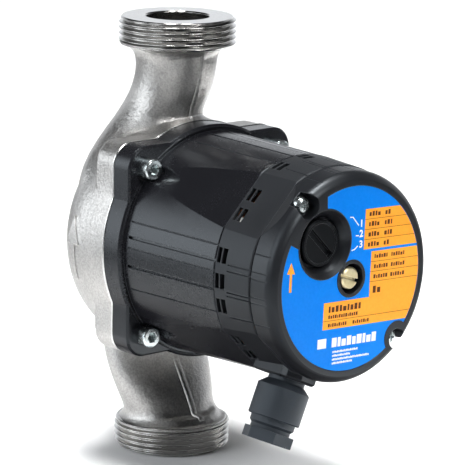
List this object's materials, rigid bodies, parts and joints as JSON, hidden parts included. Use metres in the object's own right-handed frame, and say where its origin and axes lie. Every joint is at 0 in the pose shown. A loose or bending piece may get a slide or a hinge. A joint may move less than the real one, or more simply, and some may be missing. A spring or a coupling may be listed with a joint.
{
  "type": "wet-rotor circulator pump",
  "caption": "Inline wet-rotor heating circulator: cast steel volute with threaded ports, black canned motor, slotted speed knob, brass vent screw and cable gland.",
  "frame": {"origin": "centre of the lower (inlet) gasket face, on the pipe axis", "axes": "+Z along the pipe in the flow direction, motor axis along -Y at Z = 0.09 m, +X to the right seen from the motor end"},
  "size_m": [0.0973, 0.1429, 0.18],
  "materials": {
    "cast_steel": "sand-cast stainless, satin grey with fine grain",
    "turned_steel": "turned stainless",
    "black_rubber": "matt black EPDM",
    "impeller_plastic": "glass-filled plastic",
    "ceramic": "polished white ceramic",
    "rotor_steel": "steel sleeve",
    "carbon": "carbon thrust ring",
    "can_steel": "deep-drawn stainless",
    "plate_steel": "pressed stainless",
    "bush_carbon": "carbon bush",
    "lamination_steel": "stacked electrical sheet",
    "copper_wire": "enamelled copper",
    "white_insulation": "white insulating plastic",
    "black_shell": "black semi-gloss",
    "black_textured_plastic": "fine spark-eroded texture",
    "black_satin_plastic": "satin black",
    "label_film": "blue and orange printed film",
    "knob_plastic": "black",
    "switch_plastic": "dark grey",
    "capacitor_can": "pale plastic can",
    "terminal_plastic": "light grey",
    "zinc_screw": "bright zinc plate",
    "vent_brass": "turned brass",
    "gland_plastic": "dark grey matt"
  },
  "bodies": {
    "pump": {"volute_housing": "cast_steel", "case_wear_ring": "turned_steel", "housing_seal": "black_rubber", "rotor_can": "can_steel", "bearing_plate": "plate_steel", "impeller_side_bush": "bush_carbon", "vent_side_bush": "bush_carbon", "stator_core": "lamination_steel", "stator_windings": "copper_wire", "winding_insulation": "white_insulation", "motor_housing": "black_shell", "vent_ring": "black_textured_plastic", "end_cover": "black_satin_plastic", "rating_label": "label_film", "knob_seal": "black_rubber", "speed_switch": "switch_plastic", "capacitor": "capacitor_can", "terminal_block": "terminal_plastic", "terminal_screws": "zinc_screw", "gland_body": "gland_plastic", "gland_seal": "black_rubber", "housing_screws": "zinc_screw", "cover_screws": "zinc_screw"},
    "rotor": {"impeller": "impeller_plastic", "shaft": "ceramic", "rotor_core": "rotor_steel", "thrust_ring": "carbon"},
    "knob": {"speed_knob": "knob_plastic"},
    "vent_slide": {"vent_screw_seal": "black_rubber"},
    "vent_turn": {"vent_screw": "vent_brass"},
    "gland_slide": {"gland_pressure_ring": "gland_plastic"},
    "gland_turn": {"gland_screw": "gland_plastic"}
  },
  "joints": [
    {"name": "rotor_spin", "type": "hinge", "parent": "pump", "child": "rotor", "pos_m": [0, -0.045, 0.09], "axis": [0, -1, 0], "continuous": true},
    {"name": "knob_turn", "type": "hinge", "parent": "pump", "child": "knob", "pos_m": [-0.0143, -0.1, 0.1054], "axis": [0, -1, 0], "range_deg": [0, 90]},
    {"name": "vent_travel", "type": "slide", "parent": "pump", "child": "vent_slide", "axis": [0, -1, 0], "range_m": [0, 0.003]},
    {"name": "vent_turn", "type": "hinge", "parent": "vent_slide", "child": "vent_turn", "pos_m": [0, -0.09, 0.09], "axis": [0, -1, 0], "range_deg": [0, 1081]},
    {"name": "gland_travel", "type": "slide", "parent": "pump", "child": "gland_slide", "axis": [-0.4067, 0, -0.9135], "range_m": [-0.001, 0.003]},
    {"name": "gland_turn", "type": "hinge", "parent": "gland_slide", "child": "gland_turn", "pos_m": [-0.0244, -0.0902, 0.03519], "axis": [-0.4067, 0, -0.9135], "range_deg": [-241, 721]}
  ],
  "couplings": [
    {"joint": "vent_turn", "follows": "vent_travel", "rad_per_m": 6283.2},
    {"joint": "gland_turn", "follows": "gland_travel", "rad_per_m": 4188.8}
  ]
}
